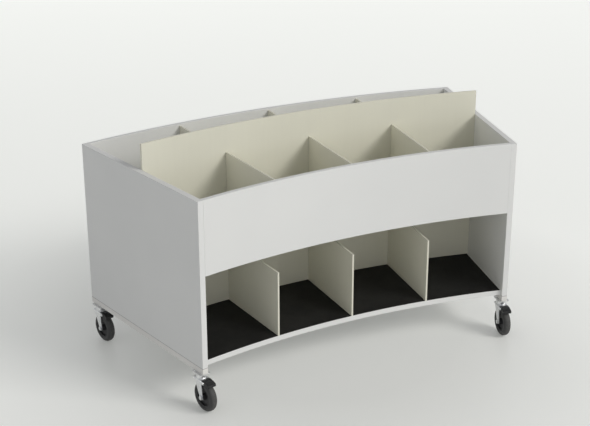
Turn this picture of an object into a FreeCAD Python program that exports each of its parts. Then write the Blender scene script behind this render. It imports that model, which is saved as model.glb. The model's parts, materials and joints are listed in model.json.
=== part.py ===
import FreeCAD, Part
import math
import os
import re
import Sketcher

# A double-sided picture book browser, curved in plan, on four braked swivel casters.
# Its boards are arcs about one upright axis, and its end panels stand on radii of that axis.
# Millimetres and degrees. The frame stands on the floor, +Z up, with its origin under the middle
# of the whole object. The concave, shorter side faces -Y.

SIZES = {
    # plan of the carcass
    "front_radius": 2530,         # axis of the curve to the end panels' front edges
    "unit_depth": 664,            # front edge to rear edge, along a radius
    "half_angle": 12.6,           # middle of the unit to the inner face of each end panel
    "bays": 4,                    # bins along each side
    # boards
    "carcass_height": 580,        # runner underside to end panel top
    "panel_thickness": 20,
    "runner_height": 20,
    "base_thickness": 18,
    "base_setback": 13,           # the base board stops short of the end panels' edges
    "board_thickness": 16,        # front and rear boards
    "board_height": 248,
    "bin_floor_thickness": 12,
    "spine_thickness": 8,
    "spine_rise": 86,             # the spine stands above the end panels by this much
    "divider_thickness": 6,
    "divider_drop": 7,            # upper dividers stop below the end panel tops
    "lower_divider_height": 225,
    "mat_thickness": 2,
    "mat_gap": 1,
    "edge_round": 1,
    # joints between the boards
    "housing_depth": 3,           # grooves in the base board and bin floors
    "spine_housing_depth": 2,     # grooves in both faces of the spine
    "housing_gap": 0.1,           # clearance on each side of a board in its groove
    "housing_stop": 20,           # the lower grooves start behind the base board's edge
    "butt_gap": 0.2,
    "dowel_radius": 3,
    "dowel_gap": 0.05,
    "dowel_end_gap": 0.5,
    "dowel_in_panel": 12,
    "dowel_in_board": 20,
    "dowel_edge": 50,
    "base_dowel_inset": 110,
    # caster wheel
    "wheel_radius": 50,
    "tyre_width": 26,
    "tyre_shoulder": 11,
    "tyre_bead": 2,
    "rim_radius": 35,
    "rim_width": 22,
    "rim_inner_radius": 30,
    "web_thickness": 8,
    "hub_radius": 11,
    "axle_radius": 4,
    "side_play": 0.5,
    "running_gap": 0.3,
    "shaft_gap": 0.05,
    # caster fork
    "front_swivel_inset": 25,     # swivel axis behind the end panel's front edge
    "rear_swivel_inset": 39,      # swivel axis ahead of the end panel's rear edge
    "trail": 22,                  # wheel axle ahead of the swivel axis
    "fork_gap": 31,
    "leg_thickness": 2.5,
    "leg_end_radius": 8,
    "leg_root_rear": 10,
    "leg_root_front": 2,          # the leg's front edge ahead of the axle, under the ear
    "crown_clearance": 6,         # tyre top to crown
    "crown_thickness": 4,
    "crown_rear": 20,
    "crown_front": 21,
    "bend_radius": 1.5,
    "ear_radius": 4.5,
    # caster swivel head
    "race_radius": 17,
    "race_height": 6,
    "race_lip": 1.5,
    "race_lip_height": 6,
    "ball_ring_height": 4,
    "ball_ring_bore": 8,
    "boss_height": 4.7,
    "boss_gap": 1,
    "kingpin_radius": 5,
    "kingpin_nut_radius": 8,
    "kingpin_nut_height": 5,
    "plate_thickness": 3,
    "plate_length": 50,
    "plate_width": 38,
    "plate_corner": 4,
    "slot_length": 8,
    "slot_width": 5,
    "slot_spacing_along": 34,
    "slot_spacing_across": 27,
    # caster screws, axle bolt and pedal pin
    "screw_radius": 2.5,
    "screw_gap": 0.25,
    "screw_offset": 20,           # either side of the swivel axis
    "screw_head_radius": 4,
    "screw_head_height": 2.6,
    "screw_head_round": 1.2,
    "screw_in_panel": 28,
    "axle_hex_radius": 7.5,
    "axle_hex_height": 4,
    "axle_thread_end": 2,
    "pedal_pin_radius": 3,
    "pedal_pin_head_radius": 4,
    "pedal_pin_head_height": 1.5,
    # brake pedal, measured from its pin
    "pedal_pin_ahead": 11,        # ahead of the axle
    "pedal_pin_drop": 2,          # below the crown's underside
    "pedal_reach": 26,
    "pedal_tail": 7,
    "pedal_tail_top": 6,
    "pedal_tip_top": 0,
    "pedal_tip_height": 8,
    "pedal_top_radius": 50,
    "pedal_round": 2,
    "shoe_front": 16,
    "shoe_low": 10,
    "pedal_travel": 10,
}

DERIVED = {
    # radii from the axis of the curve
    "rear_radius": "front_radius + unit_depth",
    "spine_front": "front_radius + unit_depth / 2 - spine_thickness / 2",
    "spine_rear": "front_radius + unit_depth / 2 + spine_thickness / 2",
    "swivel_front": "front_radius + front_swivel_inset",
    "swivel_rear": "rear_radius - rear_swivel_inset",
    # levels of the caster, from the floor
    "crown_base": "2 * wheel_radius + crown_clearance",
    "crown_top": "crown_base + crown_thickness",
    "race_top": "crown_top + race_height",
    "boss_base": "race_top + ball_ring_height + running_gap",
    "plate_base": "boss_base + boss_height",
    # levels of the carcass
    "carcass_base": "plate_base + plate_thickness",
    "panel_base": "carcass_base + runner_height",
    "base_top": "panel_base + base_thickness",
    "housing_base": "base_top - housing_depth",
    "panel_top": "carcass_base + carcass_height",
    "board_base": "panel_top - board_height",
    "bin_floor_top": "board_base + bin_floor_thickness",
    "bin_housing_base": "bin_floor_top - housing_depth",
    "upper_divider_top": "panel_top - divider_drop",
    "lower_divider_top": "base_top + lower_divider_height",
    "spine_top": "panel_top + spine_rise",
    # dividers, and where they stop in the spine, measured from the nearer edge of the unit
    "bay_angle": "2 * half_angle / bays",
    "housing_half_width": "divider_thickness / 2 + housing_gap",
    "divider_depth": "unit_depth / 2 - spine_thickness / 2 + spine_housing_depth - butt_gap",
    "mat_angle": "bay_angle - 2 * asin((divider_thickness / 2 + mat_gap) / front_radius) / 1 deg",
    # caster, in its own frame: X ahead of the swivel axis, Z from the floor
    "fork_half_width": "fork_gap / 2 + leg_thickness",
    "boss_radius": "race_radius - race_lip - boss_gap",
    "pedal_pin_x": "trail + pedal_pin_ahead",
    "pedal_pin_z": "crown_base - pedal_pin_drop",
    "pedal_tip_x": "pedal_pin_x + pedal_reach",
    # the wheel's centre as the pressed pedal sees it
    "pressed_wheel_x": "pedal_pin_x - pedal_pin_ahead * cos(pedal_travel)"
                       " + (pedal_pin_z - wheel_radius) * sin(pedal_travel)",
    "pressed_wheel_z": "pedal_pin_z - pedal_pin_ahead * sin(pedal_travel)"
                       " - (pedal_pin_z - wheel_radius) * cos(pedal_travel)",
    # the front tyres and the rear board's edge set the middle of the whole object
    "front_wheel_y": "(swivel_front - trail) * cos(half_angle) - panel_thickness / 2 * sin(half_angle)",
    "tyre_reach": "(wheel_radius - tyre_shoulder) * cos(half_angle)"
                  " + (tyre_width / 2 - tyre_shoulder) * sin(half_angle) + tyre_shoulder",
    "axis_setback": "(rear_radius + front_wheel_y - tyre_reach) / 2",
}

# Each end of the unit, seen from the front: which way it lies from the middle.
ENDS = {"left": -1, "right": 1}

# Each caster: its end of the unit, and the radius of its swivel axis.
CASTERS = {
    "front_left": (-1, "swivel_front"),
    "front_right": (1, "swivel_front"),
    "rear_left": (-1, "swivel_rear"),
    "rear_right": (1, "swivel_rear"),
}

# Where the dowels go from each board into the end panels: radius and level.
BOARD_MIDDLE = "board_base + bin_floor_thickness / 2"
BASE_MIDDLE = "panel_base + base_thickness / 2"
DOWELS = {
    "front_board": [("front_radius + board_thickness / 2", "board_base + dowel_edge"),
                    ("front_radius + board_thickness / 2", "panel_top - dowel_edge")],
    "rear_board": [("rear_radius - board_thickness / 2", "board_base + dowel_edge"),
                   ("rear_radius - board_thickness / 2", "panel_top - dowel_edge")],
    "bin_floor_front": [("front_radius + board_thickness + dowel_edge", BOARD_MIDDLE),
                        ("spine_front - dowel_edge", BOARD_MIDDLE)],
    "bin_floor_rear": [("spine_rear + dowel_edge", BOARD_MIDDLE),
                       ("rear_radius - board_thickness - dowel_edge", BOARD_MIDDLE)],
    "base_board": [("front_radius + base_dowel_inset", BASE_MIDDLE),
                   ("spine_front - dowel_edge", BASE_MIDDLE),
                   ("spine_rear + dowel_edge", BASE_MIDDLE),
                   ("rear_radius - base_dowel_inset", BASE_MIDDLE)],
}

# Where the caster screws go up into the end panels: radius.
SCREWS = [f"{swivel} {sign} screw_offset"
          for swivel in ("swivel_front", "swivel_rear") for sign in "-+"]

UP = FreeCAD.Vector(0, 0, 1)
MARGIN = 1.0                      # cutters start this far outside the surface that they cut
LEVEL_MATCH = 1e-3                # edges within this of a level lie on it

doc = FreeCAD.newDocument("picture_book_browser")
nodes = []


# Sheets and expressions

def bound(text):
    """The expression with its sheet put before the name of each size."""
    def with_sheet(match):
        word = match.group(0)
        if word in SIZES:
            return f"Sizes.{word}"
        return f"Derived.{word}" if word in DERIVED else word
    return re.sub(r"[a-z_]+", with_sheet, text)


def add_sheet(name, cells):
    sheet = doc.addObject("Spreadsheet::Sheet", name)
    for row, (alias, content) in enumerate(cells.items(), start=1):
        sheet.set(f"A{row}", alias)
        sheet.set(f"B{row}", content)
        sheet.setAlias(f"B{row}", alias)
    return sheet


add_sheet("Sizes", {alias: str(size) for alias, size in SIZES.items()})
derived = add_sheet("Derived", {alias: f"={bound(text)}" for alias, text in DERIVED.items()})
doc.recompute()


def value(text):
    return float(derived.evalExpression(bound(text)))


# Bodies and sketches

def new_body(name):
    body = doc.addObject("PartDesign::Body", name)
    body.Label = name
    return body


def origin_feature(body, role):
    return next(item for item in body.Origin.OriginFeatures if item.Role == role)


def new_sketch(body, plane, lift="0", turn="0"):
    """A sketch on an origin plane, lifted along its normal and turned about the body's Z axis."""
    sketch = body.newObject("Sketcher::SketchObject", f"{body.Name}_sketch")
    sketch.AttachmentSupport = [(origin_feature(body, plane), "")]
    sketch.MapMode = "FlatFace"
    upright = "0; 0; 1" if plane == "XY_Plane" else "0; 1; 0"
    sketch.setExpression("AttachmentOffset", bound(
        f"placement(vector(0; 0; {lift}); rotation(vector({upright}); {turn}))"))
    return sketch


def pin_point(sketch, edge, end, x, y):
    for kind, text in (("DistanceX", x), ("DistanceY", y)):
        index = sketch.addConstraint(Sketcher.Constraint(kind, -1, 1, edge, end, value(text)))
        sketch.setExpression(f"Constraints[{index}]", bound(text))


def set_radius(sketch, edge, text):
    index = sketch.addConstraint(Sketcher.Constraint("Radius", edge, abs(value(text))))
    sketch.setExpression(f"Constraints[{index}]", bound(f"abs({text})"))


def add_arc(sketch, start, end, radius):
    """An arc from start to end, anticlockwise where the radius is positive."""
    bend = value(radius)
    half_chord = (end - start).Length / 2
    rise = math.sqrt(max(bend * bend - half_chord * half_chord, 0))
    leftward = FreeCAD.Vector(start.y - end.y, end.x - start.x, 0).normalize()
    centre = (start + end) / 2 + leftward * math.copysign(rise, bend)
    first, last = (math.atan2(point.y - centre.y, point.x - centre.x) for point in (start, end))
    whole = Part.Circle(centre, UP, abs(bend))
    if bend > 0:
        edge = sketch.addGeometry(Part.ArcOfCircle(whole, first, last))
        head, tail = 1, 2
    else:
        edge = sketch.addGeometry(Part.ArcOfCircle(whole, last, first))
        head, tail = 2, 1
    set_radius(sketch, edge, radius)
    return edge, head, tail


def outline(sketch, corners):
    """A closed outline. A corner is (x, y), or (x, y, radius) where the edge after it is an arc."""
    points = [FreeCAD.Vector(value(corner[0]), value(corner[1]), 0) for corner in corners]
    edges = []
    for corner, start, end in zip(corners, points, points[1:] + points[:1]):
        if len(corner) == 3:
            edges.append(add_arc(sketch, start, end, corner[2]))
        else:
            edges.append((sketch.addGeometry(Part.LineSegment(start, end)), 1, 2))
    for corner, this, following in zip(corners, edges, edges[1:] + edges[:1]):
        edge, head, tail = this
        next_edge, next_head, _ = following
        sketch.addConstraint(Sketcher.Constraint("Coincident", edge, tail, next_edge, next_head))
        pin_point(sketch, edge, head, corner[0], corner[1])


def rectangle(x_low, y_low, x_high, y_high):
    return [(x_low, y_low), (x_high, y_low), (x_high, y_high), (x_low, y_high)]


def circle(sketch, x, y, radius):
    centre = FreeCAD.Vector(value(x), value(y), 0)
    edge = sketch.addGeometry(Part.Circle(centre, UP, value(radius)))
    pin_point(sketch, edge, 3, x, y)
    set_radius(sketch, edge, radius)


def slot(sketch, x, y, length, width):
    """A round-ended slot along the sketch's x axis, with its middle at (x, y)."""
    half_width = f"{width} / 2"
    straight = f"({length} - {width}) / 2"
    outline(sketch, [
        (f"{x} - {straight}", f"{y} - {half_width}"),
        (f"{x} + {straight}", f"{y} - {half_width}", half_width),
        (f"{x} + {length} / 2", y, half_width),
        (f"{x} + {straight}", f"{y} + {half_width}"),
        (f"{x} - {straight}", f"{y} + {half_width}", half_width),
        (f"{x} - {length} / 2", y, half_width),
    ])


def hexagon(sketch, x, y, radius):
    outline(sketch, [(f"{x} + {radius} * cos({turn})", f"{y} + {radius} * sin({turn})")
                     for turn in range(0, 360, 60)])


# Features

def feature(body, kind, sketch, **expressions):
    item = body.newObject(f"PartDesign::{kind}", f"{body.Name}_{kind.lower()}")
    item.Profile = sketch
    for name, text in expressions.items():
        item.setExpression(name, bound(text))
    return item


def pad(body, sketch, length, midplane=False, reverse=False):
    item = feature(body, "Pad", sketch, Length=length)
    item.Midplane = midplane
    item.Reversed = reverse
    doc.recompute()
    return item


def revolve(body, sketch, axis="Z_Axis"):
    item = feature(body, "Revolution", sketch)
    item.ReferenceAxis = (origin_feature(body, axis), [""])
    doc.recompute()


def sweep_arc(body, sketch, angle):
    """Sweep a section about the body's Z axis, half of the angle to each side."""
    item = feature(body, "Revolution", sketch, Angle=angle)
    item.ReferenceAxis = (origin_feature(body, "Z_Axis"), [""])
    item.Midplane = True
    doc.recompute()
    return item


def must_shrink(body, before):
    if not body.Shape.Volume < before:
        raise RuntimeError(f"a cut in {body.Label} takes nothing away")


def cut(body, sketch, length=None, midplane=False, reverse=False):
    """A pocket, through everything where it has no length."""
    before = body.Shape.Volume
    item = feature(body, "Pocket", sketch, **({"Length": length} if length else {}))
    item.Type = "Length" if length else "ThroughAll"
    item.Midplane = midplane
    item.Reversed = reverse
    doc.recompute()
    must_shrink(body, before)
    return item


def turned_groove(body, sketch):
    """A groove all the way round the body's Z axis."""
    before = body.Shape.Volume
    item = feature(body, "Groove", sketch)
    item.ReferenceAxis = (origin_feature(body, "Z_Axis"), [""])
    doc.recompute()
    must_shrink(body, before)


def repeat_round(body, item, angle, count):
    """The item again and again, clockwise about the body's Z axis over the angle."""
    pattern = body.newObject("PartDesign::PolarPattern", f"{body.Name}_pattern")
    pattern.Originals = [item]
    pattern.Axis = (origin_feature(body, "Z_Axis"), [""])
    pattern.Reversed = True
    pattern.setExpression("Angle", bound(angle))
    pattern.setExpression("Occurrences", bound(count))
    body.Tip = pattern
    doc.recompute()


def mirror(body, *items):
    """The items again, on the other side of the body's XZ plane."""
    copy = body.newObject("PartDesign::Mirrored", f"{body.Name}_mirror")
    copy.Originals = list(items)
    copy.MirrorPlane = (origin_feature(body, "XZ_Plane"), [""])
    body.Tip = copy
    doc.recompute()


def round_edges(body, radius, chosen):
    """Fillet the edges that chosen(edge) picks."""
    base = body.Tip
    names = [f"Edge{number}" for number, edge in enumerate(base.Shape.Edges, start=1) if chosen(edge)]
    fillet = body.newObject("PartDesign::Fillet", f"{body.Name}_fillet")
    fillet.Base = (base, names)
    fillet.setExpression("Radius", bound(radius))
    doc.recompute()


def at_level(edge, level):
    box = edge.BoundBox
    return abs(box.ZMax - value(level)) < LEVEL_MATCH and box.ZLength < LEVEL_MATCH


def is_arc(edge):
    return edge.Curve.TypeId == "Part::GeomCircle"


# Places on the object

def place(item, x="0", y="0", z="0", angle="0"):
    item.setExpression("Placement", bound(
        f"placement(vector({x}; {y}; {z}); rotation(vector(0; 0; 1); {angle}))"))


def on_arc(item, angle="0"):
    """Set an item on the curve's axis: its X runs to the middle of the unit, or angle left of it."""
    place(item, y="-axis_setback", angle=f"90 + {angle}")


def on_end(item, end):
    """Set an item on an end panel: its X runs along the inner face, from the curve's axis."""
    on_arc(item, f"{-end} * half_angle")


def at_caster(item, caster, ahead="0", up="0"):
    """Set an item at a caster: its X runs ahead from the swivel axis, its Y across."""
    end, swivel_radius = CASTERS[caster]
    radius = f"({swivel_radius} - {ahead})"
    x = f"{end} * ({radius} * sin(half_angle) + panel_thickness / 2 * cos(half_angle))"
    y = f"{radius} * cos(half_angle) - panel_thickness / 2 * sin(half_angle) - axis_setback"
    place(item, x, y, up, f"-90 - {end} * half_angle")


def finish(item):
    item.Label = item.Name
    nodes.append(item)


def group(name, members):
    """One node for a set of like pieces."""
    item = doc.addObject("Part::Compound", name)
    item.Links = members
    finish(item)


# Carcass

def end_panel(name, end):
    body = new_body(name)
    face = new_sketch(body, "XZ_Plane")
    outline(face, rectangle("front_radius", "panel_base", "rear_radius", "panel_top"))
    pad(body, face, "panel_thickness", reverse=end < 0)
    round_edges(body, "edge_round", lambda edge: True)
    dowel_holes = new_sketch(body, "XZ_Plane")
    for spots in DOWELS.values():
        for radius, level in spots:
            circle(dowel_holes, radius, level, "dowel_radius + dowel_gap")
    cut(body, dowel_holes, "dowel_in_panel + dowel_end_gap", reverse=end > 0)
    pilot_holes = new_sketch(body, "XY_Plane", lift="panel_base")
    for radius in SCREWS:
        circle(pilot_holes, radius, f"{-end} * panel_thickness / 2", "screw_radius + shaft_gap")
    cut(body, pilot_holes, "screw_in_panel + dowel_end_gap", reverse=True)
    on_end(body, end)
    finish(body)


def runner(name, end):
    body = new_body(name)
    face = new_sketch(body, "XZ_Plane")
    outline(face, rectangle("front_radius", "carcass_base", "rear_radius", "panel_base"))
    pad(body, face, "panel_thickness", reverse=end < 0)
    round_edges(body, "edge_round", lambda edge: True)
    holes = new_sketch(body, "XY_Plane", lift="carcass_base")
    for radius in SCREWS:
        circle(holes, radius, f"{-end} * panel_thickness / 2", "screw_radius + screw_gap")
    cut(body, holes, reverse=True)
    on_end(body, end)
    finish(body)


def curved_board(name, inner, outer, bottom, top, rounded=()):
    """A board swept about the curve's axis from end panel to end panel, with rounded long edges."""
    body = new_body(name)
    section = new_sketch(body, "XZ_Plane")
    outline(section, rectangle(inner, bottom, outer, top))
    sweep_arc(body, section, "2 * half_angle")
    if rounded:
        round_edges(body, "edge_round", lambda edge: is_arc(edge)
                    and any(at_level(edge, level) for level in rounded))
    if name in DOWELS:
        holes = new_sketch(body, "XZ_Plane", turn="half_angle")
        for radius, level in DOWELS[name]:
            circle(holes, radius, level, "dowel_radius + dowel_gap")
        mirror(body, cut(body, holes, "dowel_in_board + dowel_end_gap", reverse=True))
    on_arc(body)
    finish(body)
    return body


def housings(body, level, inner, outer, depth, upward=False):
    """A radial groove for each divider."""
    groove = new_sketch(body, "XY_Plane", lift=level, turn="half_angle - bay_angle")
    outline(groove, rectangle(inner, "-housing_half_width", outer, "housing_half_width"))
    first = cut(body, groove, depth, reverse=upward)
    repeat_round(body, first, "2 * half_angle - 2 * bay_angle", "bays - 1")


def bin_floor(name, inner, outer):
    body = curved_board(name, inner, outer, "board_base", "bin_floor_top")
    housings(body, "bin_floor_top", f"{inner} - {MARGIN}", f"{outer} + {MARGIN}", "housing_depth")


def base_board():
    body = curved_board("base_board", "front_radius + base_setback", "rear_radius - base_setback",
                        "panel_base", "base_top", rounded=("panel_base", "base_top"))
    spine_seat = new_sketch(body, "XZ_Plane")
    outline(spine_seat, rectangle("spine_front - housing_gap", "housing_base",
                                  "spine_rear + housing_gap", f"base_top + {MARGIN}"))
    turned_groove(body, spine_seat)
    stop = "base_setback + housing_stop"
    housings(body, "base_top", f"front_radius + {stop}", f"spine_front + {MARGIN}", "housing_depth")
    housings(body, "base_top", f"spine_rear - {MARGIN}", f"rear_radius - ({stop})", "housing_depth")


def spine_panel():
    body = curved_board("spine_panel", "spine_front", "spine_rear", "housing_base", "spine_top",
                        rounded=("spine_top",))
    faces = ((f"spine_front - {MARGIN}", "spine_front + spine_housing_depth"),
             ("spine_rear - spine_housing_depth", f"spine_rear + {MARGIN}"))
    runs = (("housing_base", "lower_divider_top"), ("bin_housing_base", "upper_divider_top"))
    for inner, outer in faces:
        for bottom, top in runs:
            housings(body, bottom, inner, outer, f"{top} - {bottom}", upward=True)


def divider(name, number, corners):
    """A flat plate on a radius, in its grooves. Number 1 is the leftmost."""
    body = new_body(name)
    face = new_sketch(body, "XZ_Plane")
    outline(face, corners)
    pad(body, face, "divider_thickness", midplane=True)
    on_arc(body, f"half_angle - {number} * bay_angle")
    finish(body)


def upper_divider_corners(edge, inward):
    near = f"{edge} {inward} (board_thickness + butt_gap)"
    far = f"{edge} {inward} divider_depth"
    return rectangle(near, "bin_housing_base", far, "upper_divider_top")


def lower_divider_corners(edge, inward):
    """The foot starts further in than the plate, because its groove is stopped."""
    near = f"{edge} {inward} base_setback"
    foot = f"{edge} {inward} (base_setback + housing_stop + butt_gap)"
    far = f"{edge} {inward} divider_depth"
    return [(foot, "housing_base"), (far, "housing_base"), (far, "lower_divider_top"),
            (near, "lower_divider_top"), (near, "base_top"), (foot, "base_top")]


def bay_mats(name, inner, outer):
    """One mat in each bay, all cut alike."""
    body = new_body(name)
    section = new_sketch(body, "XZ_Plane", turn="half_angle - bay_angle / 2")
    outline(section, rectangle(inner, "base_top", outer, "base_top + mat_thickness"))
    mat = sweep_arc(body, section, "mat_angle")
    repeat_round(body, mat, "2 * half_angle - bay_angle", "bays")
    on_arc(body)
    finish(body)


def dowels(end):
    body = new_body("dowels")
    section = new_sketch(body, "XZ_Plane", lift=f"{-end} * dowel_in_board")
    for spots in DOWELS.values():
        for radius, level in spots:
            circle(section, radius, level, "dowel_radius")
    pad(body, section, "dowel_in_board + dowel_in_panel", reverse=end < 0)
    on_end(body, end)
    return body


def caster_screws(end):
    """Pan head screws up through the caster plates and the runner into the end panel."""
    body = new_body("screws")
    heads = new_sketch(body, "XY_Plane", lift="plate_base - screw_head_height")
    shanks = new_sketch(body, "XY_Plane", lift="plate_base")
    for radius in SCREWS:
        circle(heads, radius, f"{-end} * panel_thickness / 2", "screw_head_radius")
        circle(shanks, radius, f"{-end} * panel_thickness / 2", "screw_radius")
    pad(body, heads, "screw_head_height")
    round_edges(body, "screw_head_round", lambda edge: at_level(edge, "plate_base - screw_head_height"))
    pad(body, shanks, "plate_thickness + runner_height + screw_in_panel")
    on_end(body, end)
    return body


# Casters, each in its own frame

def top_plate(name, caster):
    """A pressed plate with bolt slots, screw holes and the upper bearing's boss."""
    body = new_body(name)
    face = new_sketch(body, "XY_Plane", lift="plate_base")
    outline(face, rectangle("-plate_length / 2", "-plate_width / 2",
                            "plate_length / 2", "plate_width / 2"))
    pad(body, face, "plate_thickness")
    round_edges(body, "plate_corner", lambda edge: edge.BoundBox.ZLength > MARGIN)
    boss = new_sketch(body, "XZ_Plane")
    outline(boss, rectangle("0", "boss_base", "boss_radius", "plate_base"))
    revolve(body, boss)
    holes = new_sketch(body, "XY_Plane", lift="boss_base")
    circle(holes, "0", "0", "kingpin_radius + shaft_gap")
    for side in (-1, 1):
        circle(holes, f"{side} * screw_offset", "0", "screw_radius + screw_gap")
        for other in (-1, 1):
            slot(holes, f"{side} * slot_spacing_along / 2", f"{other} * slot_spacing_across / 2",
                 "slot_length", "slot_width")
    cut(body, holes, reverse=True)
    at_caster(body, caster)
    finish(body)


def kingpin(caster):
    """The rivet that the fork swivels on, flush on the plate, with a nut under the crown."""
    body = new_body("kingpin")
    nut_top = "crown_base - running_gap"
    nut_base = f"{nut_top} - kingpin_nut_height"
    section = new_sketch(body, "XZ_Plane")
    outline(section, [("0", nut_base), ("kingpin_nut_radius", nut_base),
                      ("kingpin_nut_radius", nut_top), ("kingpin_radius", nut_top),
                      ("kingpin_radius", "carcass_base"), ("0", "carcass_base")])
    revolve(body, section)
    at_caster(body, caster)
    return body


def swivel_race(name, caster):
    """The lower race, with a lip that keeps dust from the balls."""
    body = new_body(name)
    bore = "kingpin_radius + shaft_gap"
    lip = "race_radius - race_lip"
    lip_top = "race_top + race_lip_height"
    section = new_sketch(body, "XZ_Plane")
    outline(section, [(bore, "crown_top"), ("race_radius", "crown_top"), ("race_radius", lip_top),
                      (lip, lip_top), (lip, "race_top"), (bore, "race_top")])
    revolve(body, section)
    at_caster(body, caster)
    finish(body)


def ball_ring(name, caster):
    """The caged balls between the race and the plate's boss, as one ring."""
    body = new_body(name)
    section = new_sketch(body, "XZ_Plane")
    outline(section, rectangle("ball_ring_bore", "race_top", "boss_radius",
                               "race_top + ball_ring_height"))
    revolve(body, section)
    at_caster(body, caster)
    finish(body)


def fork(name, caster):
    """One pressing: a folded channel whose legs are cut to shape, with ears for the pedal's pin."""
    body = new_body(name)
    inner, outer = "fork_gap / 2", "fork_half_width"
    low = f"wheel_radius - leg_end_radius - {MARGIN}"
    inner_bend = f"{inner} - bend_radius"
    bend_level = "crown_base - bend_radius"
    outer_bend = "bend_radius + leg_thickness"
    bend_start = f"crown_top - ({outer_bend})"
    channel = new_sketch(body, "YZ_Plane", lift=f"-crown_rear - {MARGIN}")
    outline(channel, [
        (outer, low),
        (outer, bend_start, outer_bend),
        (f"{outer} - ({outer_bend})", "crown_top"),
        (f"-({outer} - ({outer_bend}))", "crown_top", outer_bend),
        (f"-{outer}", bend_start),
        (f"-{outer}", low),
        (f"-{inner}", low),
        (f"-{inner}", bend_level, "-bend_radius"),
        (f"-({inner_bend})", "crown_base"),
        (inner_bend, "crown_base", "-bend_radius"),
        (inner, bend_level),
        (inner, low),
    ])
    front = "pedal_pin_x + ear_radius"
    pad(body, channel, f"crown_rear + {front} + 2 * {MARGIN}")

    waste = new_sketch(body, "XZ_Plane")
    outline(waste, [
        (f"-crown_rear - 2 * {MARGIN}", f"{low} - {MARGIN}"),
        (f"{front} + 2 * {MARGIN}", f"{low} - {MARGIN}"),
        (f"{front} + 2 * {MARGIN}", f"crown_top + {MARGIN}"),
        ("crown_front", f"crown_top + {MARGIN}"),
        ("crown_front", "pedal_pin_z + ear_radius"),
        ("pedal_pin_x", "pedal_pin_z + ear_radius", "-ear_radius"),
        (front, "pedal_pin_z", "-ear_radius"),
        ("pedal_pin_x", "pedal_pin_z - ear_radius"),
        ("trail + leg_root_front", "pedal_pin_z - ear_radius"),
        ("trail + leg_end_radius", "wheel_radius", "-leg_end_radius"),
        ("trail", "wheel_radius - leg_end_radius", "-leg_end_radius"),
        ("trail - leg_end_radius", "wheel_radius"),
        ("-leg_root_rear", bend_level),
        ("-crown_rear", bend_level),
        ("-crown_rear", f"crown_top + {MARGIN}"),
        (f"-crown_rear - 2 * {MARGIN}", f"crown_top + {MARGIN}"),
    ])
    cut(body, waste, midplane=True)

    mouth = new_sketch(body, "XY_Plane", lift=f"crown_top + {MARGIN}")
    outline(mouth, rectangle("crown_front", f"-{inner}", f"{front} + {MARGIN}", inner))
    cut(body, mouth)

    pivots = new_sketch(body, "XZ_Plane")
    circle(pivots, "trail", "wheel_radius", "axle_radius + shaft_gap")
    circle(pivots, "pedal_pin_x", "pedal_pin_z", "pedal_pin_radius + shaft_gap")
    cut(body, pivots, midplane=True)
    bore = new_sketch(body, "XY_Plane", lift=f"crown_top + {MARGIN}")
    circle(bore, "0", "0", "kingpin_radius + shaft_gap")
    cut(body, bore)
    at_caster(body, caster)
    finish(body)


def pivot_bolts(name, caster):
    """The axle bolt with its nut, and the pedal's riveted pin, across the fork."""
    body = new_body(name)
    shanks = new_sketch(body, "XZ_Plane")
    circle(shanks, "trail", "wheel_radius", "axle_radius")
    circle(shanks, "pedal_pin_x", "pedal_pin_z", "pedal_pin_radius")
    pad(body, shanks, "2 * fork_half_width", midplane=True)
    hexes = new_sketch(body, "XZ_Plane", lift="fork_half_width")
    hexagon(hexes, "trail", "wheel_radius", "axle_hex_radius")
    rivets = new_sketch(body, "XZ_Plane", lift="fork_half_width")
    circle(rivets, "pedal_pin_x", "pedal_pin_z", "pedal_pin_head_radius")
    mirror(body, pad(body, hexes, "axle_hex_height"), pad(body, rivets, "pedal_pin_head_height"))
    thread = new_sketch(body, "XZ_Plane", lift="-fork_half_width - axle_hex_height")
    circle(thread, "trail", "wheel_radius", "axle_radius")
    pad(body, thread, "axle_thread_end", reverse=True)
    at_caster(body, caster)
    finish(body)


def hub(name, caster):
    """The moulded centre of the wheel: a rim, a web and a long boss on the axle."""
    body = new_body(name)
    bore = "axle_radius + shaft_gap"
    boss = "(fork_gap / 2 - side_play)"
    section = new_sketch(body, "XY_Plane")
    outline(section, [
        (bore, f"-{boss}"), ("hub_radius", f"-{boss}"),
        ("hub_radius", "-web_thickness / 2"), ("rim_inner_radius", "-web_thickness / 2"),
        ("rim_inner_radius", "-rim_width / 2"), ("rim_radius", "-rim_width / 2"),
        ("rim_radius", "rim_width / 2"), ("rim_inner_radius", "rim_width / 2"),
        ("rim_inner_radius", "web_thickness / 2"), ("hub_radius", "web_thickness / 2"),
        ("hub_radius", boss), (bore, boss),
    ])
    revolve(body, section, "Y_Axis")
    at_caster(body, caster, ahead="trail", up="wheel_radius")
    finish(body)


def tyre(name, caster):
    body = new_body(name)
    bore = "rim_radius + shaft_gap"
    bead = "rim_radius + tyre_bead"
    shoulder = "wheel_radius - tyre_shoulder"
    section = new_sketch(body, "XY_Plane")
    outline(section, [
        (bore, "-rim_width / 2"), (bead, "-tyre_width / 2"),
        (shoulder, "-tyre_width / 2", "tyre_shoulder"),
        ("wheel_radius", "tyre_shoulder - tyre_width / 2"),
        ("wheel_radius", "tyre_width / 2 - tyre_shoulder", "tyre_shoulder"),
        (shoulder, "tyre_width / 2"), (bead, "tyre_width / 2"), (bore, "rim_width / 2"),
    ])
    revolve(body, section, "Y_Axis")
    at_caster(body, caster, ahead="trail", up="wheel_radius")
    finish(body)


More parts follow.
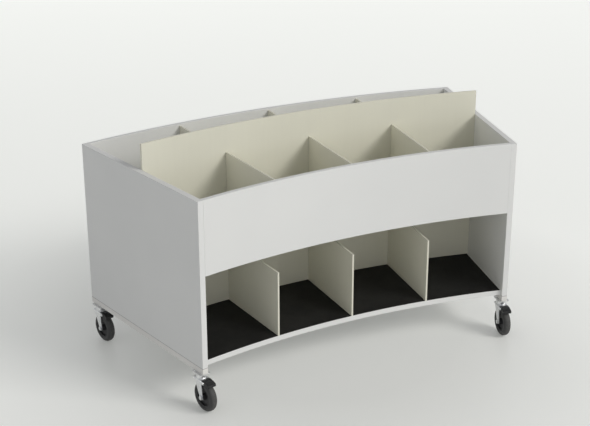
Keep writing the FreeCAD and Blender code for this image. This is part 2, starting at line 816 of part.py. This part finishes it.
def brake_pedal(name, caster):
    """A moulded pedal whose hollowed underside is the brake shoe."""
    body = new_body(name)
    tail = "pedal_pin_x - pedal_tail"
    side_view = new_sketch(body, "XZ_Plane")
    outline(side_view, [
        (tail, "pedal_pin_z - shoe_low"),
        ("pedal_pin_x + shoe_front", "pedal_pin_z - shoe_low"),
        ("pedal_tip_x", "pedal_pin_z + pedal_tip_top - pedal_tip_height"),
        ("pedal_tip_x", "pedal_pin_z + pedal_tip_top", "pedal_top_radius"),
        (tail, "pedal_pin_z + pedal_tail_top"),
    ])
    pad(body, side_view, "fork_gap - 2 * side_play", midplane=True)
    round_edges(body, "pedal_round",
                lambda edge: edge.BoundBox.XMax > value("pedal_pin_x + shoe_front") + MARGIN)
    for x, z in (("trail", "wheel_radius"), ("pressed_wheel_x", "pressed_wheel_z")):
        wheel_room = new_sketch(body, "XZ_Plane")
        circle(wheel_room, x, z, "wheel_radius + running_gap")
        cut(body, wheel_room, midplane=True)
    bore = new_sketch(body, "XZ_Plane")
    circle(bore, "pedal_pin_x", "pedal_pin_z", "pedal_pin_radius + shaft_gap")
    cut(body, bore, midplane=True)
    at_caster(body, caster)
    finish(body)


# The whole object

for end_name, end in ENDS.items():
    end_panel(f"end_panel_{end_name}", end)
    runner(f"runner_{end_name}", end)

base_board()
spine_panel()
curved_board("front_board", "front_radius", "front_radius + board_thickness",
             "board_base", "panel_top", rounded=("board_base", "panel_top"))
curved_board("rear_board", "rear_radius - board_thickness", "rear_radius",
             "board_base", "panel_top", rounded=("board_base", "panel_top"))
bin_floor("bin_floor_front", "front_radius + board_thickness + butt_gap", "spine_front - butt_gap")
bin_floor("bin_floor_rear", "spine_rear + butt_gap", "rear_radius - board_thickness - butt_gap")

for face, edge, inward in (("front", "front_radius", "+"), ("rear", "rear_radius", "-")):
    for number in range(1, SIZES["bays"]):
        divider(f"upper_divider_{face}_{number}", number, upper_divider_corners(edge, inward))
        divider(f"lower_divider_{face}_{number}", number, lower_divider_corners(edge, inward))

bay_mats("shelf_mats_front", "front_radius + base_setback + mat_gap", "spine_front - mat_gap")
bay_mats("shelf_mats_rear", "spine_rear + mat_gap", "rear_radius - base_setback - mat_gap")

group("carcass_dowels", [dowels(end) for end in ENDS.values()])
group("caster_screws", [caster_screws(end) for end in ENDS.values()])
group("kingpins", [kingpin(caster) for caster in CASTERS])

for caster in CASTERS:
    for make in (top_plate, swivel_race, ball_ring, fork, pivot_bolts, hub, tyre, brake_pedal):
        make(f"{make.__name__}_{caster}", caster)

doc.recompute()
for item in doc.Objects:
    if {"Invalid", "Error"} & set(item.State):
        raise RuntimeError(f"{item.Label} failed: {item.State}")
for node in nodes:
    if node.Shape.isNull() or not node.Shape.isValid():
        raise RuntimeError(f"{node.Label} has no valid shape")

os.makedirs("parts", exist_ok=True)
for node in nodes:
    node.Shape.exportStep(os.path.join("parts", f"{node.Label}.step"))
    print(f"{node.Label}: {len(node.Shape.Solids)} solid(s), {node.Shape.Volume / 1000:.1f} cm3")
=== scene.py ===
# %% [markdown]
# # A curved picture book browser on casters
# This lesson dresses a finished CAD model of a library book browser. The pieces already stand in
# the right place, in metres, so the work is finishes, small details, light and a camera.
# Loading the frame first gives one Blender object for each CAD piece.

import json
import math

import bmesh
import bpy
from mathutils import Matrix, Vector


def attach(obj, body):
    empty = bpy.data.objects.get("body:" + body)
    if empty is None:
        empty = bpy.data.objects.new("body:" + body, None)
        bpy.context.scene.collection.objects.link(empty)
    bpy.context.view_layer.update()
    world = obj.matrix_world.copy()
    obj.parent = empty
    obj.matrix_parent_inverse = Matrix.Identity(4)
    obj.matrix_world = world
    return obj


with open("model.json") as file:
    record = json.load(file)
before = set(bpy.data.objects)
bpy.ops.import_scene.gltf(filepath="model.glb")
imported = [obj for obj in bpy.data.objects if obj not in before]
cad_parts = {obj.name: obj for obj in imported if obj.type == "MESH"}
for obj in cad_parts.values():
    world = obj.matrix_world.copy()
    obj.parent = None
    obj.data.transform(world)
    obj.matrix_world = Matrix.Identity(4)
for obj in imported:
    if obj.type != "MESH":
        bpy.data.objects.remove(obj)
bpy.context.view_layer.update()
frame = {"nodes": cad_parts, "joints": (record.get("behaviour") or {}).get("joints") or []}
nodes = frame["nodes"]
joints = {joint["name"]: joint for joint in frame["joints"]}
CASTERS = ("front_left", "front_right", "rear_left", "rear_right")
MM = 0.001

# %% [markdown]
# ## Small helpers for node materials
# Every finish here is procedural: it is worked out from the position on the object, so it needs no
# pictures and no unwrapping. The helpers add one node each and return its output socket, which
# keeps the recipes below as short as the sentences that describe them.

# %% Helpers that add nodes
def start_material(name):
    material = bpy.data.materials.new(name)
    material.use_nodes = True
    return material, material.node_tree, material.node_tree.nodes["Principled BSDF"]


def add_node(tree, kind, **settings):
    node = tree.nodes.new(kind)
    for name, setting in settings.items():
        setattr(node, name, setting)
    return node


def place_on_object(tree, stretch=(1, 1, 1), turn=0.0, origin=(0, 0, 0)):
    """Object coordinates in metres, seen from an origin, turned about Z and stretched."""
    coordinates = add_node(tree, "ShaderNodeTexCoord")
    moved = add_node(tree, "ShaderNodeMapping", vector_type="TEXTURE")
    moved.inputs["Location"].default_value = origin
    moved.inputs["Rotation"].default_value = (0, 0, turn)
    tree.links.new(coordinates.outputs["Object"], moved.inputs["Vector"])
    scaled = add_node(tree, "ShaderNodeMapping")
    scaled.inputs["Scale"].default_value = stretch
    tree.links.new(moved.outputs["Vector"], scaled.inputs["Vector"])
    return scaled.outputs["Vector"]


def noise(tree, where, scale, detail=3.0, roughness=0.5):
    node = add_node(tree, "ShaderNodeTexNoise")
    node.inputs["Scale"].default_value = scale
    node.inputs["Detail"].default_value = detail
    node.inputs["Roughness"].default_value = roughness
    tree.links.new(where, node.inputs["Vector"])
    return node.outputs["Fac"]


def cells(tree, where, scale, feature="F1"):
    node = add_node(tree, "ShaderNodeTexVoronoi", feature=feature)
    node.inputs["Scale"].default_value = scale
    tree.links.new(where, node.inputs["Vector"])
    return node.outputs["Distance"]


def spread(tree, value, low, high, start=0.0, end=1.0):
    """Stretch a value that runs from start to end, so that it runs from low to high."""
    node = add_node(tree, "ShaderNodeMapRange")
    for name, number in (("From Min", start), ("From Max", end), ("To Min", low), ("To Max", high)):
        node.inputs[name].default_value = number
    tree.links.new(value, node.inputs["Value"])
    return node.outputs["Result"]


def maths(tree, operation, first, second=None):
    node = add_node(tree, "ShaderNodeMath", operation=operation)
    for socket, value in zip(node.inputs, (first, second)):
        if isinstance(value, (int, float)):
            socket.default_value = value
        elif value is not None:
            tree.links.new(value, socket)
    return node.outputs["Value"]


def blend_colours(tree, amount, first, second):
    """The first colour where amount is 0, the second where it is 1."""
    node = add_node(tree, "ShaderNodeMix", data_type="RGBA")
    tree.links.new(amount, node.inputs["Factor"])
    for name, colour in (("A", first), ("B", second)):
        socket = next(s for s in node.inputs if s.name == name and s.type == "RGBA")
        if isinstance(colour, tuple):
            socket.default_value = (*colour, 1)
        else:
            tree.links.new(colour, socket)
    return next(s for s in node.outputs if s.type == "RGBA")


def raise_surface(tree, shader, height, depth, strength=1.0, under=None):
    """Bump of a given depth in metres, on top of an earlier bump where there is one."""
    node = add_node(tree, "ShaderNodeBump")
    node.inputs["Distance"].default_value = depth
    node.inputs["Strength"].default_value = strength
    tree.links.new(height, node.inputs["Height"])
    if under is not None:
        tree.links.new(under, node.inputs["Normal"])
    tree.links.new(node.outputs["Normal"], shader.inputs["Normal"])
    return node.outputs["Normal"]


print("helpers ready")

# %% [markdown]
# ## Finding the edges
# Handling shows first on edges: laminate burnishes, plating rubs bright, plastic turns grey.
# One way to find an edge is to paint a mask by hand, another is the mesh's own pointiness, which
# needs many more vertices than these boards have. A Bevel node works on any mesh: it looks round
# a small radius and averages the normals, so it differs from the true normal only near an edge.

# %% A mask that is 1 on edges
def edge_mask(tree, radius):
    bevel = add_node(tree, "ShaderNodeBevel", samples=6)
    bevel.inputs["Radius"].default_value = radius
    geometry = add_node(tree, "ShaderNodeNewGeometry")
    facing = add_node(tree, "ShaderNodeVectorMath", operation="DOT_PRODUCT")
    tree.links.new(bevel.outputs["Normal"], facing.inputs[0])
    tree.links.new(geometry.outputs["True Normal"], facing.inputs[1])
    return spread(tree, facing.outputs["Value"], 1.0, 0.0, 0.78, 0.99)


# %% [markdown]
# ## White board
# The end panels, floors, base and outer boards are melamine-faced board: a printed paper under
# hard resin, pressed against a satin plate. Up close it has a very fine orange-peel texture, it is
# never perfectly even in tone, and its edge banding picks up a little grey from hands and feet.
# Colour changes are kept within a few percent, because the eye reads more than that as dirt.
# The runner under each end panel is a separate batch of board, a little warmer. A fine grey line of
# painted shade stands for the shadow in the seam between the two, and a mask on the height puts it on
# both.

# %% White melamine
SEAM_HEIGHT = 148 * MM
SEAM_HALF = 1.2 * MM


def white_board(name, dark, light, seam_height=None):
    material, tree, shader = start_material(name)
    where = place_on_object(tree)
    cloud = noise(tree, where, 3.0, 2.0)
    speck = noise(tree, where, 900.0, 2.0)
    tone = blend_colours(tree, spread(tree, cloud, 0, 1, 0.3, 0.7), dark, light)
    tone = blend_colours(tree, spread(tree, speck, 0, 0.05, 0.35, 0.65), tone, (0.70, 0.70, 0.68))
    edge_blend = maths(tree, "MULTIPLY", edge_mask(tree, 0.0016),
                 spread(tree, noise(tree, where, 40.0, 4.0), 0.05, 0.45, 0.35, 0.7))
    tone = blend_colours(tree, edge_blend, tone, (0.66, 0.655, 0.625))
    # Painted shade: a thin grey band at the seam height stands for the shadow in the seam.
    if seam_height is not None:
        upright = add_node(tree, "ShaderNodeSeparateXYZ")
        tree.links.new(where, upright.inputs["Vector"])
        off = maths(tree, "ABSOLUTE", maths(tree, "SUBTRACT", upright.outputs["Z"], seam_height))
        shade = spread(tree, off, 1.0, 0.0, 0.5 * SEAM_HALF, SEAM_HALF)
        tone = blend_colours(tree, shade, tone, (0.40, 0.40, 0.39))
    tree.links.new(tone, shader.inputs["Base Color"])
    smudge = noise(tree, where, 9.0, 5.0, 0.65)
    tree.links.new(spread(tree, smudge, 0.36, 0.52, 0.3, 0.7), shader.inputs["Roughness"])
    raise_surface(tree, shader, noise(tree, where, 650.0, 2.0), 0.00004, 0.5)
    shader.inputs["Specular IOR Level"].default_value = 0.35
    return material


WHITE = (0.785, 0.790, 0.775), (0.815, 0.818, 0.800)
WARM_WHITE = (0.815, 0.800, 0.765), (0.840, 0.825, 0.790)
white_melamine = white_board("white_melamine", *WHITE)
white_end = white_board("white_end_panel", *WHITE, SEAM_HEIGHT)
warm_runner = white_board("warm_white_runner", *WARM_WHITE, SEAM_HEIGHT)
print("made", white_melamine.name, white_end.name, warm_runner.name)

# %% [markdown]
# ## Warm grey panel
# The tall middle panel and the dividers are thinner sheets in a warm grey. The colour is the main
# thing: it has to stay clearly warmer than the white boards in the same light. A faint upright streak,
# stretched noise, gives the sheet a direction as a rolled laminate has. The sheets are cut without a
# banding, and their edges are drawn as a darker line of painted shade.

# %% Warm grey laminate
def warm_sheet(name):
    material, tree, shader = start_material(name)
    where = place_on_object(tree)
    streak = noise(tree, place_on_object(tree, stretch=(90, 90, 4)), 1.0, 3.0)
    cloud = noise(tree, where, 2.5, 2.0)
    tone = blend_colours(tree, spread(tree, cloud, 0, 1, 0.3, 0.7), (0.790, 0.775, 0.655),
                         (0.825, 0.810, 0.690))
    tone = blend_colours(tree, spread(tree, streak, 0, 0.10, 0.35, 0.7), tone, (0.72, 0.70, 0.59))
    # Painted shade: the sheet's edges are drawn darker, so they do not catch the light as bright lines.
    edge_blend = maths(tree, "MULTIPLY", edge_mask(tree, 0.003),
                 spread(tree, noise(tree, where, 50.0, 4.0), 0.5, 0.9, 0.35, 0.7))
    tone = blend_colours(tree, edge_blend, tone, (0.44, 0.43, 0.36))
    tree.links.new(tone, shader.inputs["Base Color"])
    smudge = noise(tree, where, 12.0, 5.0, 0.6)
    tree.links.new(spread(tree, smudge, 0.40, 0.56, 0.3, 0.7), shader.inputs["Roughness"])
    raise_surface(tree, shader, noise(tree, where, 500.0, 2.0), 0.00004, 0.5)
    shader.inputs["Specular IOR Level"].default_value = 0.3
    return material


warm_grey = warm_sheet("warm_grey_laminate")
print("made", warm_grey.name)

# %% [markdown]
# ## Black mats
# The lower bays are lined with thin black mats that keep books from sliding. Real ones have a
# pebbled face, and dust sits in it, so black is not one value. Voronoi cells give the pebbles,
# and a larger noise lifts the black a little where dust lies.

# %% Pebbled black mat
def pebbled_mat(name):
    material, tree, shader = start_material(name)
    where = place_on_object(tree)
    pebbles = cells(tree, where, 420.0)
    dust = spread(tree, noise(tree, where, 7.0, 6.0, 0.7), 0.0, 1.0, 0.42, 0.75)
    tone = blend_colours(tree, dust, (0.010, 0.010, 0.0096), (0.023, 0.0225, 0.0215))
    tree.links.new(tone, shader.inputs["Base Color"])
    tree.links.new(spread(tree, pebbles, 0.62, 0.85), shader.inputs["Roughness"])
    raise_surface(tree, shader, pebbles, 0.0004, 0.7)
    shader.inputs["Specular IOR Level"].default_value = 0.25
    return material


black_mat = pebbled_mat("pebbled_black_mat")
print("made", black_mat.name)

# %% [markdown]
# ## Zinc plate
# Plates, forks, races and bolts are pressed steel with bright zinc. Zinc is a metal, so its colour
# is the colour of its reflection, and all its character is in the roughness: a fine spangle from
# plating, and duller patches where it has been handled. Edges are rubbed brighter.

# %% Zinc-plated steel
def zinc_plate(name):
    material, tree, shader = start_material(name)
    where = place_on_object(tree)
    spangle = cells(tree, where, 260.0)
    patch = noise(tree, where, 45.0, 5.0, 0.65)
    tone = blend_colours(tree, spread(tree, patch, 0, 1, 0.35, 0.7), (0.76, 0.77, 0.79),
                         (0.86, 0.86, 0.84))
    tone = blend_colours(tree, spread(tree, spangle, 0, 0.22), tone, (0.66, 0.68, 0.72))
    edge_blend = maths(tree, "MULTIPLY", edge_mask(tree, 0.0008), 0.6)
    tone = blend_colours(tree, edge_blend, tone, (0.92, 0.92, 0.91))
    tree.links.new(tone, shader.inputs["Base Color"])
    shader.inputs["Metallic"].default_value = 1.0
    tree.links.new(spread(tree, patch, 0.30, 0.50, 0.3, 0.7), shader.inputs["Roughness"])
    raise_surface(tree, shader, noise(tree, where, 700.0, 3.0), 0.00003, 0.6)
    return material


zinc = zinc_plate("zinc_plated_steel")
print("made", zinc.name)

# %% [markdown]
# ## Moulded plastics
# The wheel centres and the pedals are moulded. A spark-eroded mould leaves an even matt grain,
# and sharp corners turn paler with wear. One function makes both, with the shade as its argument.

# %% Moulded plastic
def moulded(name, shade, worn_shade, shine):
    material, tree, shader = start_material(name)
    where = place_on_object(tree)
    flow = noise(tree, where, 30.0, 3.0)
    darker = tuple(0.8 * channel for channel in shade)
    tone = blend_colours(tree, spread(tree, flow, 0, 1, 0.3, 0.7), darker, shade)
    edge_blend = maths(tree, "MULTIPLY", edge_mask(tree, 0.0010),
                 spread(tree, noise(tree, where, 160.0, 4.0), 0.1, 0.9, 0.35, 0.65))
    tone = blend_colours(tree, edge_blend, tone, worn_shade)
    tree.links.new(tone, shader.inputs["Base Color"])
    tree.links.new(spread(tree, flow, shine, shine + 0.14, 0.3, 0.7), shader.inputs["Roughness"])
    raise_surface(tree, shader, noise(tree, where, 1400.0, 2.0), 0.00004, 0.8)
    shader.inputs["Specular IOR Level"].default_value = 0.4
    return material


wheel_plastic = moulded("dark_grey_plastic", (0.040, 0.040, 0.041), (0.10, 0.10, 0.10), 0.48)
pedal_plastic = moulded("black_plastic", (0.011, 0.011, 0.012), (0.06, 0.06, 0.06), 0.34)
print("made", wheel_plastic.name, pedal_plastic.name)

# %% [markdown]
# ## Tyres
# A caster tyre is grey-black rubber. Its tread picks up floor dust, its sides stay dark. To know
# tread from side, the material needs the wheel's own axis: so each wheel gets its own copy, whose
# coordinates start at the wheel's centre and run along its axle. The joints give both.

# %% Rubber with a dusty tread
TREAD_RADIUS = 0.050
TREAD_HALF = 0.002


def tyre_rubber(caster):
    joint = joints[f"roll_{caster}"]
    axle_turn = math.atan2(joint["axis"][1], joint["axis"][0])
    material, tree, shader = start_material(f"tyre_rubber_{caster}")
    where = place_on_object(tree, turn=axle_turn, origin=joint["pos_m"])
    along = add_node(tree, "ShaderNodeSeparateXYZ")
    tree.links.new(where, along.inputs["Vector"])
    from_middle = maths(tree, "ABSOLUTE", along.outputs["X"])
    height = maths(tree, "MULTIPLY", along.outputs["Z"], along.outputs["Z"])
    reach = maths(tree, "MULTIPLY", along.outputs["Y"], along.outputs["Y"])
    radius = maths(tree, "SQRT", maths(tree, "ADD", height, reach))
    on_tread = spread(tree, radius, 0.0, 1.0, TREAD_RADIUS - 0.004, TREAD_RADIUS - 0.0008)
    grime = spread(tree, noise(tree, where, 120.0, 5.0, 0.7), 0.25, 1.0, 0.35, 0.7)
    dusty = maths(tree, "MULTIPLY", on_tread, grime)
    tone = blend_colours(tree, dusty, (0.035, 0.035, 0.035), (0.085, 0.084, 0.080))
    tree.links.new(tone, shader.inputs["Base Color"])
    tree.links.new(spread(tree, dusty, 0.50, 0.72), shader.inputs["Roughness"])
    grain = noise(tree, where, 900.0, 3.0)
    seam = spread(tree, from_middle, 1.0, 0.0, 0.0, 0.0007)
    rings = add_node(tree, "ShaderNodeMath", operation="SINE")
    tree.links.new(maths(tree, "MULTIPLY", radius, 5200.0), rings.inputs[0])
    side_rings = maths(tree, "MULTIPLY", rings.outputs["Value"],
                       spread(tree, from_middle, 0.0, 1.0, TREAD_HALF, TREAD_HALF + 0.003))
    under = raise_surface(tree, shader, grain, 0.00006, 0.8)
    under = raise_surface(tree, shader, side_rings, 0.00008, 0.35, under)
    raise_surface(tree, shader, seam, 0.00025, 0.9, under)
    return material


tyres = {caster: tyre_rubber(caster) for caster in CASTERS}
print("made", len(tyres), "tyre materials")

# %% [markdown]
# ## Dowels
# The beech dowels are hidden inside the joints, but they still get wood: a growth-ring pattern
# from stretched noise is enough for something that only shows if the unit is taken apart.

# %% Beech
def beech_wood(name):
    material, tree, shader = start_material(name)
    grain = noise(tree, place_on_object(tree, stretch=(30, 260, 260)), 1.0, 5.0, 0.6)
    tone = blend_colours(tree, grain, (0.42, 0.24, 0.12), (0.62, 0.42, 0.25))
    tree.links.new(tone, shader.inputs["Base Color"])
    tree.links.new(spread(tree, grain, 0.5, 0.7), shader.inputs["Roughness"])
    raise_surface(tree, shader, grain, 0.0001, 0.5)
    return material


beech = beech_wood("beech")
print("made", beech.name)

# %% [markdown]
# ## Dress the CAD pieces
# The names say what each piece is, so the first part of a name picks its finish. A dictionary from
# the start of a name to a material keeps the whole plan in one place.

# %% Give every piece its finish
FINISHES = {
    "end_panel": white_end,
    "runner": warm_runner,
    "spine_panel": warm_grey,
    "upper_divider": warm_grey,
    "lower_divider": warm_grey,
    "shelf_mats": black_mat,
    "carcass_dowels": beech,
    "hub": wheel_plastic,
    "brake_pedal": pedal_plastic,
    "top_plate": zinc,
    "swivel_race": zinc,
    "ball_ring": zinc,
    "fork": zinc,
    "pivot_bolts": zinc,
    "kingpins": zinc,
    "caster_screws": zinc,
}


def finish_for(name):
    if name.startswith("tyre_"):
        return tyres[name[len("tyre_"):]]
    for start, material in FINISHES.items():
        if name.startswith(start):
            return material
    return white_melamine


for name, piece in nodes.items():
    piece.data.materials.clear()
    piece.data.materials.append(finish_for(name))
print("dressed", len(nodes), "pieces")

# %% [markdown]
# ## Grip ridges on the pedals
# A shoe has to find the brake pedal and not slip off it, so the pedal's top has ridges across it.
# They could be bump, but bump has no outline seen from the side. Each ridge is a short half-round bar
# instead, set on the pedal's top where a dropped ray lands, and tilted to its slope there.

# %% Ridges that follow the pedal's curve
RIDGE_COUNT = 5
RIDGE_FIRST = 8 * MM
RIDGE_STEP = 3.6 * MM
RIDGE_HALF = 0.7 * MM
RIDGE_LENGTH = 24 * MM
RIDGE_SINK = 0.2 * MM
RIDGE_SIDES = 8
DROP_FROM = 50 * MM


def pedal_frame(caster):
    """The pin's place, the way the pedal points, and the pin's own direction."""
    joint = joints[f"brake_{caster}"]
    across = Vector(joint["axis"]).normalized()
    ahead = across.cross(Vector((0, 0, 1)))
    return Vector(joint["pos_m"]), ahead, across


def top_of_pedal(caster, ahead_of_pin):
    """Drop a ray on the pedal, in its own frame, to find its top and how steep it is there."""
    pin, ahead, _ = pedal_frame(caster)
    pedal = nodes[f"brake_pedal_{caster}"]
    above = pin + ahead * ahead_of_pin + Vector((0, 0, DROP_FROM))
    hit, spot, normal, _ = pedal.ray_cast(above, Vector((0, 0, -1)))
    return spot, normal


def add_ridges(caster):
    pin, ahead, across = pedal_frame(caster)
    shape = bmesh.new()
    for number in range(RIDGE_COUNT):
        spot, normal = top_of_pedal(caster, RIDGE_FIRST + RIDGE_STEP * number)
        forward = normal.cross(across).normalized()
        rings = []
        for end in (-1, 1):
            middle = spot + across * end * RIDGE_LENGTH / 2 - normal * RIDGE_SINK
            ring = []
            for step in range(RIDGE_SIDES + 1):
                angle = math.pi * step / RIDGE_SIDES
                ring.append(shape.verts.new(middle + forward * math.cos(angle) * RIDGE_HALF
                                            + normal * math.sin(angle) * RIDGE_HALF))
            rings.append(ring)
        for step in range(RIDGE_SIDES):
            shape.faces.new((rings[0][step], rings[0][step + 1],
                             rings[1][step + 1], rings[1][step]))
        shape.faces.new((rings[0][-1], rings[0][0], rings[1][0], rings[1][-1]))
        shape.faces.new(rings[0][::-1])
        shape.faces.new(rings[1])
    bmesh.ops.recalc_face_normals(shape, faces=shape.faces)
    mesh = bpy.data.meshes.new(f"pedal_ridges_{caster}")
    shape.to_mesh(mesh)
    shape.free()
    piece = bpy.data.objects.new(f"pedal_ridges_{caster}", mesh)
    bpy.context.scene.collection.objects.link(piece)
    piece.data.materials.append(pedal_plastic)
    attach(piece, f"pedal_{caster}")
    return piece


for caster in CASTERS:
    add_ridges(caster)
print("ridges on", len(CASTERS), "pedals")

# %% [markdown]
# ## Floor
# The unit stands on a pale, half-gloss studio floor that runs on past the edge of the picture, so no
# horizon shows. The soft reflection under the unit settles it on the floor. A plain diffuse floor would
# go grey away from the lamp. A little of its brightness is painted on: it is added for the camera and
# for reflections only, through the Light Path node, so it lights nothing, and it grows towards the
# back. It fades by half towards the unit, a painted shade that deepens the shadow under it.

# %% A pale floor without end
FLOOR_HALF = 30.0
VIEW_TURN = math.radians(-10)
NEAR_FLOOR, FAR_FLOOR = -2.4, 6.0
NEAR_GLOW, FAR_GLOW = 0.20, 0.50
POOL_START, POOL_END = 0.5, 1.3
POOL_GLOW = 0.42


def pale_floor(name):
    material, tree, shader = start_material(name)
    shader.inputs["Specular IOR Level"].default_value = 0.5
    where = place_on_object(tree)
    cloud = noise(tree, where, 0.6, 2.0)
    tree.links.new(spread(tree, cloud, 0.30, 0.36, 0.3, 0.7), shader.inputs["Roughness"])
    tone = blend_colours(tree, cloud, (0.78, 0.785, 0.77), (0.82, 0.825, 0.81))
    tree.links.new(tone, shader.inputs["Base Color"])
    path = add_node(tree, "ShaderNodeLightPath")
    seen = maths(tree, "MAXIMUM", path.outputs["Is Camera Ray"], path.outputs["Is Glossy Ray"])
    seen = maths(tree, "MAXIMUM", seen, path.outputs["Is Transmission Ray"])
    away = add_node(tree, "ShaderNodeSeparateXYZ")
    tree.links.new(place_on_object(tree, turn=VIEW_TURN), away.inputs["Vector"])
    # Painted brightness: a glow seen by the camera that grows towards the back.
    painted_glow = spread(tree, away.outputs["Y"], NEAR_GLOW, FAR_GLOW, NEAR_FLOOR, FAR_FLOOR)
    from_unit = add_node(tree, "ShaderNodeVectorMath", operation="LENGTH")
    tree.links.new(where, from_unit.inputs[0])
    # Painted shade: the glow drops towards the unit, which darkens the floor under it.
    painted_shade_pool = spread(tree, from_unit.outputs["Value"], POOL_GLOW, 1.0, POOL_START, POOL_END)
    painted_glow = maths(tree, "MULTIPLY", painted_glow, painted_shade_pool)
    shader.inputs["Emission Color"].default_value = (0.98, 1.0, 0.94, 1)
    tree.links.new(maths(tree, "MULTIPLY", seen, painted_glow), shader.inputs["Emission Strength"])
    return material


bpy.ops.mesh.primitive_grid_add(x_subdivisions=2, y_subdivisions=2, size=2 * FLOOR_HALF)
floor = bpy.context.object
floor.name = "studio_floor"
floor.data.materials.append(pale_floor("pale_floor"))
print("floor", floor.name)

# %% [markdown]
# ## Light
# Soft light from everywhere gives the even tone of a product picture, and one large, far lamp
# from the front right gives it a direction: the curved front is brightest where it turns to that
# lamp and the left end stays darker. A far lamp crosses the whole unit at one angle, so the
# dividers' shadows run parallel, and its size in the sky alone decides how soft their edges are.
# It is set so that a white board renders about as pale as its own colour is written.

# %% Sky and lamp
HORIZON_AIR, ZENITH_AIR = 0.83, 0.14

world = bpy.data.worlds.new("studio_air")
bpy.context.scene.world = world
world.use_nodes = True
air = world.node_tree.nodes["Background"]
air.inputs["Color"].default_value = (0.97, 0.98, 1.0, 1)
compass = add_node(world.node_tree, "ShaderNodeTexCoord")
height = add_node(world.node_tree, "ShaderNodeSeparateXYZ")
world.node_tree.links.new(compass.outputs["Generated"], height.inputs["Vector"])
world.node_tree.links.new(spread(world.node_tree, height.outputs["Z"], HORIZON_AIR, ZENITH_AIR),
                          air.inputs["Strength"])


def soft_lamp(name, bearing, tilt, distance, width, height, watts):
    """An oblong lamp aimed at the unit, placed by its bearing from the front and its tilt."""
    data = bpy.data.lights.new(name, "AREA")
    data.shape = "RECTANGLE"
    data.size = width
    data.size_y = height
    data.energy = watts
    data.color = (1.0, 0.985, 0.955)
    lamp = bpy.data.objects.new(name, data)
    towards = Vector((math.sin(bearing) * math.cos(tilt), -math.cos(bearing) * math.cos(tilt),
                      math.sin(tilt)))
    lamp.location = Vector((0, 0, 0.6)) + towards * distance
    lamp.rotation_euler = towards.to_track_quat("Z", "Y").to_euler()
    bpy.context.scene.collection.objects.link(lamp)
    return lamp


key = soft_lamp("key", bearing=math.radians(37), tilt=math.radians(33), distance=14.0,
                width=6.0, height=4.0, watts=920)
print("lamp at", [round(c, 2) for c in key.location])

# %% [markdown]
# ## Camera
# The view is from the front left and a little above, through a long lens, which keeps the upright
# edges nearly parallel. The camera is placed by its aim, its bearing round the unit, its height
# angle and its distance, because those four can each be changed without disturbing the others.

# %% Camera
LENS_MM = 77.9
AIM = Vector((-0.2016, -0.2775, 0.6476))
BEARING = math.radians(-26.80)
TILT = math.radians(21.68)
DISTANCE = 3.978

camera_data = bpy.data.cameras.new("camera")
camera_data.lens = LENS_MM
camera_data.sensor_width = 36.0
camera_data.shift_x = -0.0085
camera_data.shift_y = -0.0339
camera_data.clip_end = 200.0
camera_data.dof.use_dof = False
camera = bpy.data.objects.new("camera", camera_data)
back = Vector((math.sin(BEARING) * math.cos(TILT), -math.cos(BEARING) * math.cos(TILT), math.sin(TILT)))
camera.location = AIM + back * DISTANCE
camera.rotation_euler = back.to_track_quat("Z", "Y").to_euler()
bpy.context.scene.collection.objects.link(camera)
bpy.context.scene.camera = camera
bpy.context.scene.view_settings.view_transform = "Standard"
print("camera at", [round(c, 3) for c in camera.location])

# %% [markdown]
# ## Finish
# The dressed model keeps the CAD model's size.

# %% End of the scene
print("scene ready")
